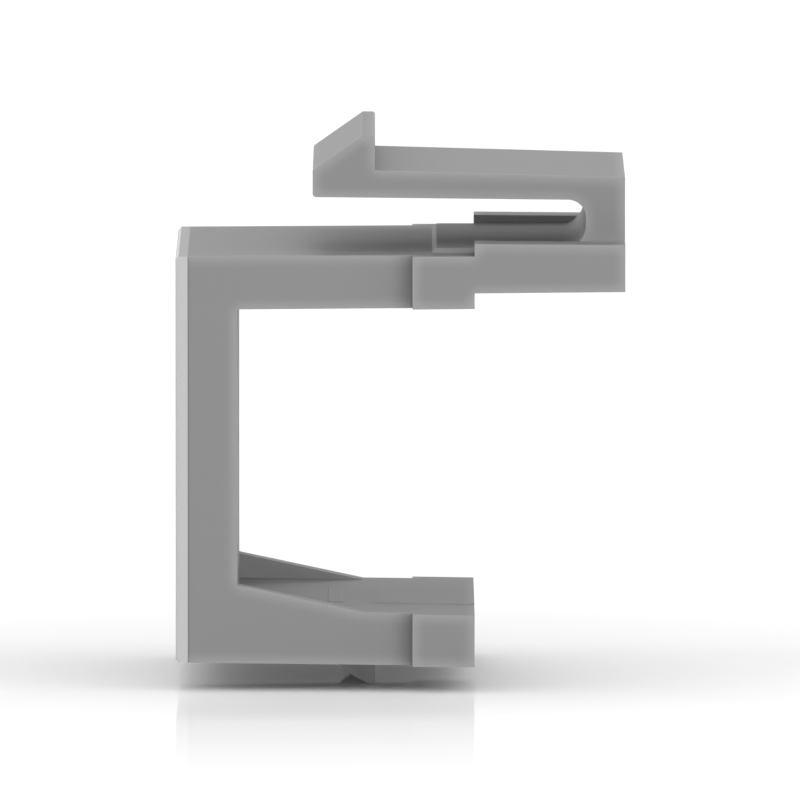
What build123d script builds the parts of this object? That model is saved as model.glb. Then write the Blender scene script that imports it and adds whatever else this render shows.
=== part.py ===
from build123d import *
import os
from math import radians, tan

# Blank insert that closes an unused port in an outlet plate or patch panel. It is
# moulded in one piece: a front wall, two arms, a fixed lip below and a snap latch that
# bends back over the upper arm like a hairpin. Sizes are in millimetres. The origin is
# the centre of the front face. X runs back from the face, Y across it and Z up.

# Front wall
face_width = 14.5
face_height = 16.3
wall_thickness = 2.45
face_chamfer = 0.12
rim_depth = 0.48        # band round the face that stands proud of the sides
rim_step = 0.03

# Arms, from the front face to their free ends
arm_length = 11.94
upper_arm_thickness = 2.13
lower_arm_thickness = 2.1
top_draft = 0.25        # degrees that each face leans as it runs back
ceiling_draft = 0.5
floor_draft = 0.9
base_draft = 0.55
side_draft = 0.7

# Wider blocks at the ends of both arms, which the latch rails continue
block_start = 9.46
rear_width = 16.1

# Gussets between the front wall and the lower arm, one at each side
gusset_reach = 7.48
gusset_height = 1.0
gusset_thickness = 0.9

# Low pads on the lower arm, in line before and behind the lip
pad_height = 0.04
front_pad_width = 6.0
front_pad_start = 6.1
front_pad_length = 0.56
rear_pad_width = 6.5
rear_pad_start = 7.6
rear_pad_ramp = 0.6

# Fixed lip under the lower arm
catch_distance = 7.95   # from the front face to both catch faces
lip_width = 8.5
lip_depth = 1.17
lip_tip = 0.2           # flat at the lip's lowest point
lip_slope = 28.0
lip_lead_slope = 45.0   # steeper start of the lip
lip_lead_depth = 0.66

# Snap latch: a lower leg, a bend at the rear and a beam that comes forward again
overall_depth = 17.95
latch_width = 12.7
leg_start = 10.43       # where the root reaches its full height
leg_rise = 0.185        # step from the arm's top up to the leg's
leg_thickness = 1.15
root_width = 12.1
root_depth = 0.3        # how far the root's sloping sides run down, into the arm
root_taper = 45.0
slot_height = 1.95      # gap between leg and beam at the bend
bend_thickness = 1.565  # rear wall of the bend
slot_lower_radius = 0.9
slot_upper_radius = 0.72
beam_front = 5.47
beam_thickness = 0.9    # at the rear face
beam_under_slope = 0.6
beam_top_slope = 1.58
beam_tip_radius = 0.14

# Hook on the beam
hook_rise = 1.39
hook_ramp = 1.98
hook_corner_radius = 0.12

# Rails beside the leg
rail_rise = 0.315       # above the leg
rail_height = 1.97
rail_top_slope = 0.45
rail_base_slope = 0.53

# Heights worked out from the sizes above
face_bottom = -face_height / 2
face_top = face_height / 2
base_end = face_bottom - arm_length * tan(radians(base_draft))
top_end = face_top + arm_length * tan(radians(top_draft))
inner_length = arm_length - wall_thickness
floor_height = face_bottom + lower_arm_thickness
floor_end = floor_height - inner_length * tan(radians(floor_draft))
ceiling_height = face_top - upper_arm_thickness
ceiling_end = ceiling_height + inner_length * tan(radians(ceiling_draft))
arm_top_at_leg = face_top + leg_start * tan(radians(top_draft))
leg_top = arm_top_at_leg + leg_rise
leg_base = leg_top - leg_thickness
slot_end = overall_depth - bend_thickness
slot_top = leg_top + slot_height
beam_under_front = slot_top + (slot_end - beam_front) * tan(radians(beam_under_slope))
beam_top_rear = slot_top + beam_thickness
beam_top_catch = beam_top_rear + (overall_depth - catch_distance) * tan(radians(beam_top_slope))
hook_top = beam_top_catch + hook_rise
hook_flat_start = beam_front + hook_ramp
rail_length = overall_depth - arm_length
rail_top = leg_top + rail_rise
rail_top_rear = rail_top - rail_length * tan(radians(rail_top_slope))
rail_base = rail_top - rail_height
rail_base_rear = rail_base + rail_length * tan(radians(rail_base_slope))
side_spread = block_start * tan(radians(side_draft))
front_pad_end = front_pad_start + front_pad_length
rear_pad_top = rear_pad_start + rear_pad_ramp

# Lip outline, from its tip forward and up to the lower arm
lip_bottom = face_bottom - lip_depth
lip_tip_start = catch_distance - lip_tip
lip_lead_end = lip_tip_start - (lip_depth - lip_lead_depth) / tan(radians(lip_slope))
lip_start = lip_lead_end - lip_lead_depth / tan(radians(lip_lead_slope))


def floor_at(distance):
    # Height of the lower arm's inner face at a distance behind the front face
    return floor_height - (distance - wall_thickness) * tan(radians(floor_draft))


with BuildPart() as keystone_blank:
    # Front wall and both arms as one side profile
    with BuildSketch(Plane.XZ) as frame_profile:
        with BuildLine():
            Polyline(
                (0, face_bottom),
                (0, face_top),
                (arm_length, top_end),
                (arm_length, ceiling_end),
                (wall_thickness, ceiling_height),
                (wall_thickness, floor_height),
                (arm_length, floor_end),
                (arm_length, base_end),
                close=True,
            )
        make_face()
    extrude(amount=rear_width / 2, both=True)

    # Gussets: a wedge in the lower corner with its middle cut out
    with BuildSketch(Plane.XZ) as gusset_profile:
        with BuildLine():
            Polyline(
                (wall_thickness, floor_height + gusset_height),
                (gusset_reach, floor_at(gusset_reach)),
                (wall_thickness, floor_height),
                close=True,
            )
        make_face()
    extrude(amount=rear_width / 2, both=True)
    with BuildSketch(Plane.XZ) as channel_profile:
        with BuildLine():
            Polyline(
                (wall_thickness, floor_height),
                (gusset_reach, floor_at(gusset_reach)),
                (gusset_reach, floor_height + gusset_height),
                (wall_thickness, floor_height + gusset_height),
                close=True,
            )
        make_face()
    extrude(amount=face_width / 2 - gusset_thickness, both=True, mode=Mode.SUBTRACT)

    # Outline from above: drafted sides that step out to the blocks
    with BuildSketch(Plane.XY) as plan_outline:
        with BuildLine():
            Polyline(
                (0, -face_width / 2),
                (rim_depth, -face_width / 2),
                (rim_depth, rim_step - face_width / 2),
                (block_start, -face_width / 2 - side_spread),
                (block_start, -rear_width / 2),
                (arm_length, -rear_width / 2),
                (arm_length, rear_width / 2),
                (block_start, rear_width / 2),
                (block_start, face_width / 2 + side_spread),
                (rim_depth, face_width / 2 - rim_step),
                (rim_depth, face_width / 2),
                (0, face_width / 2),
                close=True,
            )
        make_face()
    extrude(amount=face_height, both=True, mode=Mode.INTERSECT)

    # Low pads on the lower arm: a short one, and one that ramps up behind the lip
    with BuildSketch(Plane.XZ) as front_pad_profile:
        with BuildLine():
            Polyline(
                (front_pad_start, floor_at(front_pad_start)),
                (front_pad_start, floor_at(front_pad_start) + pad_height),
                (front_pad_end, floor_at(front_pad_end) + pad_height),
                (front_pad_end, floor_at(front_pad_end)),
                close=True,
            )
        make_face()
    extrude(amount=front_pad_width / 2, both=True)
    with BuildSketch(Plane.XZ) as rear_pad_profile:
        with BuildLine():
            Polyline(
                (rear_pad_start, floor_at(rear_pad_start)),
                (rear_pad_top, floor_at(rear_pad_top) + pad_height),
                (arm_length, floor_end + pad_height),
                (arm_length, floor_end),
                close=True,
            )
        make_face()
    extrude(amount=rear_pad_width / 2, both=True)

    # Fixed lip, from inside the lower arm down to its tip
    with BuildSketch(Plane.XZ) as lip_profile:
        with BuildLine():
            Polyline(
                (lip_start, face_bottom),
                (lip_lead_end, face_bottom - lip_lead_depth),
                (lip_tip_start, lip_bottom),
                (catch_distance, lip_bottom),
                (catch_distance, face_bottom + lower_arm_thickness / 2),
                (lip_start, face_bottom + lower_arm_thickness / 2),
                close=True,
            )
        make_face()
    extrude(amount=lip_width / 2, both=True)

    # Root of the leg, raised on the upper arm, with sloping sides
    with BuildSketch(Plane.XY.offset(leg_top)) as root_outline:
        with BuildLine():
            Polyline(
                (leg_start, -root_width / 2),
                (arm_length, -root_width / 2),
                (arm_length, root_width / 2),
                (leg_start, root_width / 2),
                close=True,
            )
        make_face()
    extrude(amount=-root_depth, taper=-root_taper)

    # Hairpin latch: leg, bend, beam and hook as one side profile
    with BuildSketch(Plane.XZ) as latch_profile:
        with BuildLine():
            Polyline(
                (arm_length, leg_top),
                (slot_end, leg_top),
                (slot_end, slot_top),
                (beam_front, beam_under_front),
                (beam_front, hook_top - hook_rise),
                (hook_flat_start, hook_top),
                (catch_distance, hook_top),
                (catch_distance, beam_top_catch),
                (overall_depth, beam_top_rear),
                (overall_depth, leg_base),
                (arm_length, leg_base),
                close=True,
            )
        make_face()
        slot_corners = latch_profile.vertices().filter_by_position(Axis.X, slot_end, slot_end)
        fillet(slot_corners.sort_by(Axis.Y)[0], radius=slot_lower_radius)
        slot_corners = latch_profile.vertices().filter_by_position(Axis.X, slot_end, slot_end)
        fillet(slot_corners.sort_by(Axis.Y)[-1], radius=slot_upper_radius)
        tip_corners = latch_profile.vertices().sort_by(Axis.X)[:2]
        fillet(tip_corners, radius=beam_tip_radius)
        hook_corners = latch_profile.vertices().filter_by_position(
            Axis.X, catch_distance, catch_distance
        )
        fillet(hook_corners.sort_by(Axis.Y)[-1], radius=hook_corner_radius)
    extrude(amount=latch_width / 2, both=True)

    # Rails that tie the leg to the ends of the upper arm's blocks
    with BuildSketch(Plane.XZ.offset(latch_width / 2)) as rail_profile:
        with BuildLine():
            Polyline(
                (arm_length, rail_base),
                (arm_length, rail_top),
                (overall_depth, rail_top_rear),
                (overall_depth, rail_base_rear),
                close=True,
            )
        make_face()
    extrude(amount=(rear_width - latch_width) / 2)
    mirror(about=Plane.XZ)

    # Small bevel round the front face
    front_face = keystone_blank.faces().sort_by(Axis.X)[0]
    chamfer(front_face.edges(), length=face_chamfer)

os.makedirs("parts", exist_ok=True)
keystone_blank.part.label = "keystone_blank"
export_step(keystone_blank.part, "parts/keystone_blank.step")
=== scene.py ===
import bpy
import math
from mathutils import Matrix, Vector


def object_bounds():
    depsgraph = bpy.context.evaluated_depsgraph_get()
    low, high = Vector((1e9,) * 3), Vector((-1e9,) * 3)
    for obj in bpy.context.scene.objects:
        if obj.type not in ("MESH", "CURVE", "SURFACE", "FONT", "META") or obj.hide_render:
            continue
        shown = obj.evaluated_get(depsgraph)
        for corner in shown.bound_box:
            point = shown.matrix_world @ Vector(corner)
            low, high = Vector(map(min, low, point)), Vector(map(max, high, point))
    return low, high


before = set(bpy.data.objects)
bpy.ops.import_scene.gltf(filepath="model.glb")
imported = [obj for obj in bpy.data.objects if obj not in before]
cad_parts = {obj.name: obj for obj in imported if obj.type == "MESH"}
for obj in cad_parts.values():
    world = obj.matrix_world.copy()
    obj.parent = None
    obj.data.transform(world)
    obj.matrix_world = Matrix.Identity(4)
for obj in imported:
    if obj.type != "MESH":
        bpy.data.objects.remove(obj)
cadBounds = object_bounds()
scene = bpy.context.scene
print("frame loaded, CAD box", [list(corner) for corner in cadBounds])

mm = 0.001


def addNode(tree, kind, place, **values):
    node = tree.nodes.new(kind)
    node.location = place
    for key, value in values.items():
        setattr(node, key, value)
    return node


def mathNode(tree, place, operation, *inputs):
    # one Math node, whose inputs may be sockets or plain numbers
    node = addNode(tree, "ShaderNodeMath", place, operation=operation)
    for socket, value in zip(node.inputs, inputs):
        if isinstance(value, bpy.types.NodeSocket):
            tree.links.new(value, socket)
        else:
            socket.default_value = value
    return node.outputs["Value"]


def mapRange(tree, place, value, fromRange, toRange, interpolation="LINEAR"):
    node = addNode(tree, "ShaderNodeMapRange", place, interpolation_type=interpolation)
    node.inputs["From Min"].default_value, node.inputs["From Max"].default_value = fromRange
    node.inputs["To Min"].default_value, node.inputs["To Max"].default_value = toRange
    tree.links.new(value, node.inputs["Value"])
    return node.outputs["Result"]


def mixColour(tree, place, factor, first, second, blend="MIX"):
    # colour mix whose inputs may be sockets or plain linear colours, and the factor a number
    mix = addNode(tree, "ShaderNodeMix", place, data_type="RGBA", blend_type=blend)
    if isinstance(factor, bpy.types.NodeSocket):
        tree.links.new(factor, mix.inputs["Factor"])
    else:
        mix.inputs["Factor"].default_value = factor
    for socket, value in ((mix.inputs[6], first), (mix.inputs[7], second)):
        if isinstance(value, bpy.types.NodeSocket):
            tree.links.new(value, socket)
        else:
            socket.default_value = (*value, 1.0)
    return mix.outputs[2]


def newMaterial(name):
    material = bpy.data.materials.new(name)
    material.use_nodes = True
    tree = material.node_tree
    tree.nodes.clear()
    return material, tree


# where the photograph was taken from; the target is the middle of the picture
view = {
    "target": (8.96 * mm, 0.0, 1.743 * mm),
    "elevation": 5.1,
    "distance": 1007.3 * mm,
    "lens": 1127.0,
    "sensor": 36.0,
    "clip": (0.01, 20.0),
}


def makeCamera(values):
    camera = bpy.data.cameras.new("camera")
    camera.sensor_width = values["sensor"]
    camera.lens = values["lens"]
    camera.clip_start, camera.clip_end = values["clip"]
    cameraObject = bpy.data.objects.new("camera", camera)
    tilt = math.radians(values["elevation"])
    offset = Vector((0.0, -math.cos(tilt), math.sin(tilt))) * values["distance"]
    cameraObject.location = Vector(values["target"]) + offset
    cameraObject.rotation_euler = (math.pi / 2 - tilt, 0.0, 0.0)
    scene.collection.objects.link(cameraObject)
    scene.camera = cameraObject


# moulded grey plastic of the insert; colours are linear, and the lighter and darker
# ones are set by measure to the tones of the photograph
insertLook = {
    "colour": (0.211, 0.211, 0.212),
    "roughness": 0.52,
    "cloudSize": 5.0 * mm,
    "cloudDetail": 3.0,
    "cloudDarkness": 0.5,       # colour in the middle of a cloud, as a share of the body's
    "cloudAmount": 0.05,
    "edgeHighlightColour": (0.28, 0.28, 0.281),      # painted highlight: lighter edges, as the photograph has them
    "edgeHighlightReach": 0.5 * mm,
    "edgeHighlightRange": (0.5, 1.0),    # openness seen from inside: edge at the first, flat at the second
    "recessLightColour": (0.40, 0.40, 0.401),     # painted light: lifts sideways faces in the recesses to its tones
    "recessLightReach": 4.0 * mm,
    "recessLightRange": (0.1, 0.72),  # openness: deep at the first, out in the open at the second
    "sideways": (0.7, 0.95),    # how far a face must look sideways to count as one
    "cornerShadeColour": (0.085, 0.085, 0.086),  # painted shade: darkens the inner corners of the outer sides
    "cornerShadeReach": 0.9 * mm,
    "cornerShadeRange": (0.5, 1.0),  # openness: darkest at the first, plain at the second
    "cornerShadeAmount": 0.7,
    "outerSide": (6.8 * mm, 7.1 * mm),      # where the outer sides begin, from the middle plane
    "paintedTopShade": 0.935,          # painted shade: faces that look up are this share as light
    "upward": (0.88, 0.98),     # how far a face must look up to count as one
    "rimSideHighlightColour": (0.460, 0.460, 0.462),     # smoother, lighter band round the face; on its sides a painted highlight
    "rimTopShadeColour": (0.18, 0.18, 0.181),    # and its upper side, which is darker there: painted shade
    "rimFront": (0.0048 * mm, 0.0288 * mm), # the band fades in just behind the face
    "rimRear": (0.4656 * mm, 0.4944 * mm),  # and out at its step
    "rimTop": 8.145 * mm,       # above this height lies the band's upper side
    "rimRoughness": 0.36,
    "grainSize": 0.06 * mm,
    "grainDetail": 2.0,
    "grainHeight": 0.0012 * mm,
    "samples": 8,               # of each openness node
}


def openness(tree, place, look, reach, inside=False):
    # 1 on an open flat face and less in a corner; seen from inside, less at an edge
    node = addNode(tree, "ShaderNodeAmbientOcclusion", place, inside=inside)
    node.samples = look["samples"]
    node.only_local = True
    node.inputs["Distance"].default_value = reach
    return node.outputs["AO"]


def noise(tree, place, vector, size, detail):
    node = addNode(tree, "ShaderNodeTexNoise", place)
    node.inputs["Scale"].default_value = 1.0 / size
    node.inputs["Detail"].default_value = detail
    tree.links.new(vector, node.inputs["Vector"])
    return node.outputs["Fac"]


def makePlastic(look):
    material, tree = newMaterial("insertPlastic")
    link = tree.links.new
    output = addNode(tree, "ShaderNodeOutputMaterial", (900, 0))
    plastic = addNode(tree, "ShaderNodeBsdfPrincipled", (600, 0))
    link(plastic.outputs["BSDF"], output.inputs["Surface"])
    coordinates = addNode(tree, "ShaderNodeTexCoord", (-1200, 0))
    place = coordinates.outputs["Object"]
    axes = addNode(tree, "ShaderNodeSeparateXYZ", (-900, -350))
    link(place, axes.inputs["Vector"])
    facing = addNode(tree, "ShaderNodeSeparateXYZ", (-900, -750))
    link(coordinates.outputs["Normal"], facing.inputs["Vector"])

    # faint clouds, as moulded plastic has
    clouds = noise(tree, (-900, 300), place, look["cloudSize"], look["cloudDetail"])
    cloud = mapRange(tree, (-700, 300), clouds, (0.0, 1.0), (0.0, look["cloudAmount"]))
    darker = tuple(look["cloudDarkness"] * channel for channel in look["colour"])
    body = mixColour(tree, (-450, 300), cloud, look["colour"], darker)

    # painted highlight: edges lighter, found where the solid is thin, seen from inside
    thin = openness(tree, (-900, 50), look, look["edgeHighlightReach"], inside=True)
    edgeHighlight = mapRange(tree, (-700, 50), thin, look["edgeHighlightRange"], (1.0, 0.0))
    body = mixColour(tree, (-200, 200), edgeHighlight, body, look["edgeHighlightColour"])

    # painted light: sideways faces in the recesses lighter, where the studio light falls short
    turned = mathNode(tree, (-900, -900), "ABSOLUTE", facing.outputs["Y"])
    sideways = mapRange(tree, (-700, -900), turned, look["sideways"], (0.0, 1.0))
    recess = openness(tree, (-900, -1050), look, look["recessLightReach"])
    deep = mapRange(tree, (-700, -1050), recess, look["recessLightRange"], (1.0, 0.0))
    recessLight = mathNode(tree, (-500, -950), "MULTIPLY", sideways, deep)
    body = mixColour(tree, (50, 250), recessLight, body, look["recessLightColour"])

    # painted shade in the inner corners of the outer sides
    closed = openness(tree, (-900, -150), look, look["cornerShadeReach"])
    shadeAmounts = (look["cornerShadeAmount"], 0.0)
    corner = mapRange(tree, (-700, -150), closed, look["cornerShadeRange"], shadeAmounts)
    across = mathNode(tree, (-900, -550), "ABSOLUTE", axes.outputs["Y"])
    outer = mapRange(tree, (-500, -150), across, look["outerSide"], (0.0, 1.0))
    shaded = mathNode(tree, (-300, -150), "MULTIPLY", corner, outer)
    body = mixColour(tree, (0, 200), shaded, body, look["cornerShadeColour"])

    # painted shade: faces that look up a little darker
    upward = mapRange(tree, (-700, -750), facing.outputs["Z"], look["upward"], (0.0, 1.0))
    shade = (look["paintedTopShade"], look["paintedTopShade"], look["paintedTopShade"])
    topShadeColour = mixColour(tree, (-500, -750), upward, (1.0, 1.0, 1.0), shade)
    body = mixColour(tree, (100, 300), 1.0, body, topShadeColour, "MULTIPLY")

    # smooth band round the front face, which keeps the body's colour itself; its sides carry
    # painted highlight and its upper side painted shade
    depth = axes.outputs["X"]
    rear = mapRange(tree, (-700, -350), depth, look["rimRear"], (1.0, 0.0), "SMOOTHSTEP")
    ahead = mapRange(tree, (-700, -450), depth, look["rimFront"], (0.0, 1.0), "SMOOTHSTEP")
    rim = mathNode(tree, (-500, -400), "MULTIPLY", rear, ahead)
    isTop = mathNode(tree, (-700, -550), "GREATER_THAN", axes.outputs["Z"], look["rimTop"])
    rimHighlightAndShade = mixColour(tree, (0, 0), isTop, look["rimSideHighlightColour"], look["rimTopShadeColour"])
    body = mixColour(tree, (200, 100), rim, body, rimHighlightAndShade)
    link(body, plastic.inputs["Base Color"])
    finishes = (look["roughness"], look["rimRoughness"])
    finish = mapRange(tree, (50, -200), rim, (0.0, 1.0), finishes)
    link(finish, plastic.inputs["Roughness"])

    # fine grain of a matte mould
    grain = noise(tree, (50, -450), place, look["grainSize"], look["grainDetail"])
    bump = addNode(tree, "ShaderNodeBump", (300, -400))
    bump.inputs["Distance"].default_value = look["grainHeight"]
    link(grain, bump.inputs["Height"])
    link(bump.outputs["Normal"], plastic.inputs["Normal"])
    return material


# pale table that the insert stands on; its reaches are measured from the middle of the
# insert's front face, and its footprint from the insert's middle plane
tableLook = {
    "size": 4.0,
    "gap": 0.005 * mm,          # so that the table and the lip's tip don't share a plane
    "colour": (0.90, 0.90, 0.90),
    "glow": 0.07,
    "glowShadeReach": (11.0 * mm, 32.0 * mm),    # no glow within the first, full past the second, which paints shade round the insert
    "polishRoughness": 0.03,
    "polishAmount": 0.32,
    "polishReach": (9.0 * mm, 46.0 * mm),   # the polish fades between these
    "footprint": (6.0 * mm, 16.0 * mm),     # dull within the first, polished past the second
    "dullShare": 0.26,          # of the polish that is left in the dull strip
}


def makeTable(look, height):
    # one flat square, facing up, centred under the insert
    half = look["size"] / 2
    middle = view["target"][0]
    corners = [
        (middle - half, -half, height),
        (middle + half, -half, height),
        (middle + half, half, height),
        (middle - half, half, height),
    ]
    mesh = bpy.data.meshes.new("table")
    mesh.from_pydata(corners, [], [(0, 1, 2, 3)])
    table = bpy.data.objects.new("table", mesh)
    scene.collection.objects.link(table)

    material, tree = newMaterial("tablePaint")
    link = tree.links.new
    output = addNode(tree, "ShaderNodeOutputMaterial", (900, 0))
    paint = addNode(tree, "ShaderNodeBsdfDiffuse", (0, 200))
    paint.inputs["Color"].default_value = (*look["colour"], 1.0)

    # dull under the insert, polished beside it, and dull again further off
    place = addNode(tree, "ShaderNodeTexCoord", (-900, 0)).outputs["Object"]
    reach = addNode(tree, "ShaderNodeVectorMath", (-700, 0), operation="LENGTH")
    link(place, reach.inputs[0])
    distance = reach.outputs["Value"]
    polishAmounts = (look["polishAmount"], 0.0)
    fade = mapRange(tree, (-500, 0), distance, look["polishReach"], polishAmounts)
    axes = addNode(tree, "ShaderNodeSeparateXYZ", (-700, -200))
    link(place, axes.inputs["Vector"])
    across = mathNode(tree, (-600, -200), "ABSOLUTE", axes.outputs["Y"])
    shares = (look["dullShare"], 1.0)
    beside = mapRange(tree, (-500, -200), across, look["footprint"], shares, "SMOOTHSTEP")
    polish = mathNode(tree, (-300, -100), "MULTIPLY", fade, beside)
    shine = addNode(tree, "ShaderNodeBsdfGlossy", (0, 0))
    shine.inputs["Roughness"].default_value = look["polishRoughness"]
    surface = addNode(tree, "ShaderNodeMixShader", (300, 100))
    link(polish, surface.inputs["Fac"])
    link(paint.outputs["BSDF"], surface.inputs[1])
    link(shine.outputs["BSDF"], surface.inputs[2])

    # a little glow, for the camera only, that lifts the table to white; left out near the insert,
    # it paints shade round it
    seen = addNode(tree, "ShaderNodeLightPath", (-300, -300))
    amount = mapRange(tree, (-300, -500), distance, look["glowShadeReach"], (0.0, look["glow"]))
    strength = mathNode(tree, (-150, -300), "MULTIPLY", seen.outputs["Is Camera Ray"], amount)
    glow = addNode(tree, "ShaderNodeEmission", (0, -300))
    link(strength, glow.inputs["Strength"])
    both = addNode(tree, "ShaderNodeAddShader", (600, 0))
    link(surface.outputs["Shader"], both.inputs[0])
    link(glow.outputs["Emission"], both.inputs[1])
    link(both.outputs["Shader"], output.inputs["Surface"])
    mesh.materials.append(material)


# soft studio: sky values by the height of the direction, 0 at the horizon and 1 overhead
studio = {
    "frontSky": (
        (0.0, 2.4),
        (0.08, 2.4),
        (0.16, 0.3),
        (0.28, 0.3),
        (0.42, 2.1),
        (0.70, 2.1),
        (0.84, 0.3),
    ),
    "backSky": ((0.0, 1.3), (0.28, 1.4), (0.42, 0.5), (0.75, 0.5), (0.84, 0.3)),
    "brightest": 2.4,
    "blend": (-0.15, 0.15),     # the front half fades into the back half between these
    "softboxPlace": (0.009, 0.12, 0.90),
    "softboxSize": (0.9, 0.7),
    "softboxPower": 2.5,
}


def makeSky(values):
    # even in azimuth within the front half and within the back half
    world = bpy.data.worlds.new("studio")
    world.use_nodes = True
    tree = world.node_tree
    background = tree.nodes["Background"]
    way = addNode(tree, "ShaderNodeTexCoord", (-1000, 0)).outputs["Generated"]
    axes = addNode(tree, "ShaderNodeSeparateXYZ", (-800, 0))
    tree.links.new(way, axes.inputs["Vector"])
    ramps = []
    for row, name in enumerate(("backSky", "frontSky")):
        ramp = addNode(tree, "ShaderNodeValToRGB", (-600, -300 * row))
        stops = ramp.color_ramp.elements
        for place, value in values[name]:
            stop = stops.new(place)
            share = value / values["brightest"]
            stop.color = (share, share, share, 1.0)
        # the two stops that a new ramp comes with
        stops.remove(stops[0])
        stops.remove(stops[len(stops) - 1])
        tree.links.new(axes.outputs["Z"], ramp.inputs["Fac"])
        ramps.append(ramp.outputs["Color"])
    front = mapRange(tree, (-600, 300), axes.outputs["Y"], values["blend"], (1.0, 0.0))
    tree.links.new(mixColour(tree, (-300, 0), front, *ramps), background.inputs["Color"])
    background.inputs["Strength"].default_value = values["brightest"]
    scene.world = world


def makeSoftbox(values):
    light = bpy.data.lights.new("softbox", "AREA")
    light.shape = "RECTANGLE"
    light.size, light.size_y = values["softboxSize"]
    light.energy = values["softboxPower"]
    softbox = bpy.data.objects.new("softbox", light)
    softbox.location = values["softboxPlace"]
    aim = Vector(view["target"]) - Vector(values["softboxPlace"])
    softbox.rotation_euler = aim.to_track_quat("-Z", "Y").to_euler()
    scene.collection.objects.link(softbox)


scene.view_settings.view_transform = "Standard"
makeCamera(view)
print("camera set")

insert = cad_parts["keystone_blank"]
plastic = makePlastic(insertLook)
for materialSlot in insert.material_slots:
    materialSlot.material = plastic
print("insert dressed")

makeTable(tableLook, cadBounds[0][2] - tableLook["gap"])
makeSky(studio)
makeSoftbox(studio)
print("table and studio set")
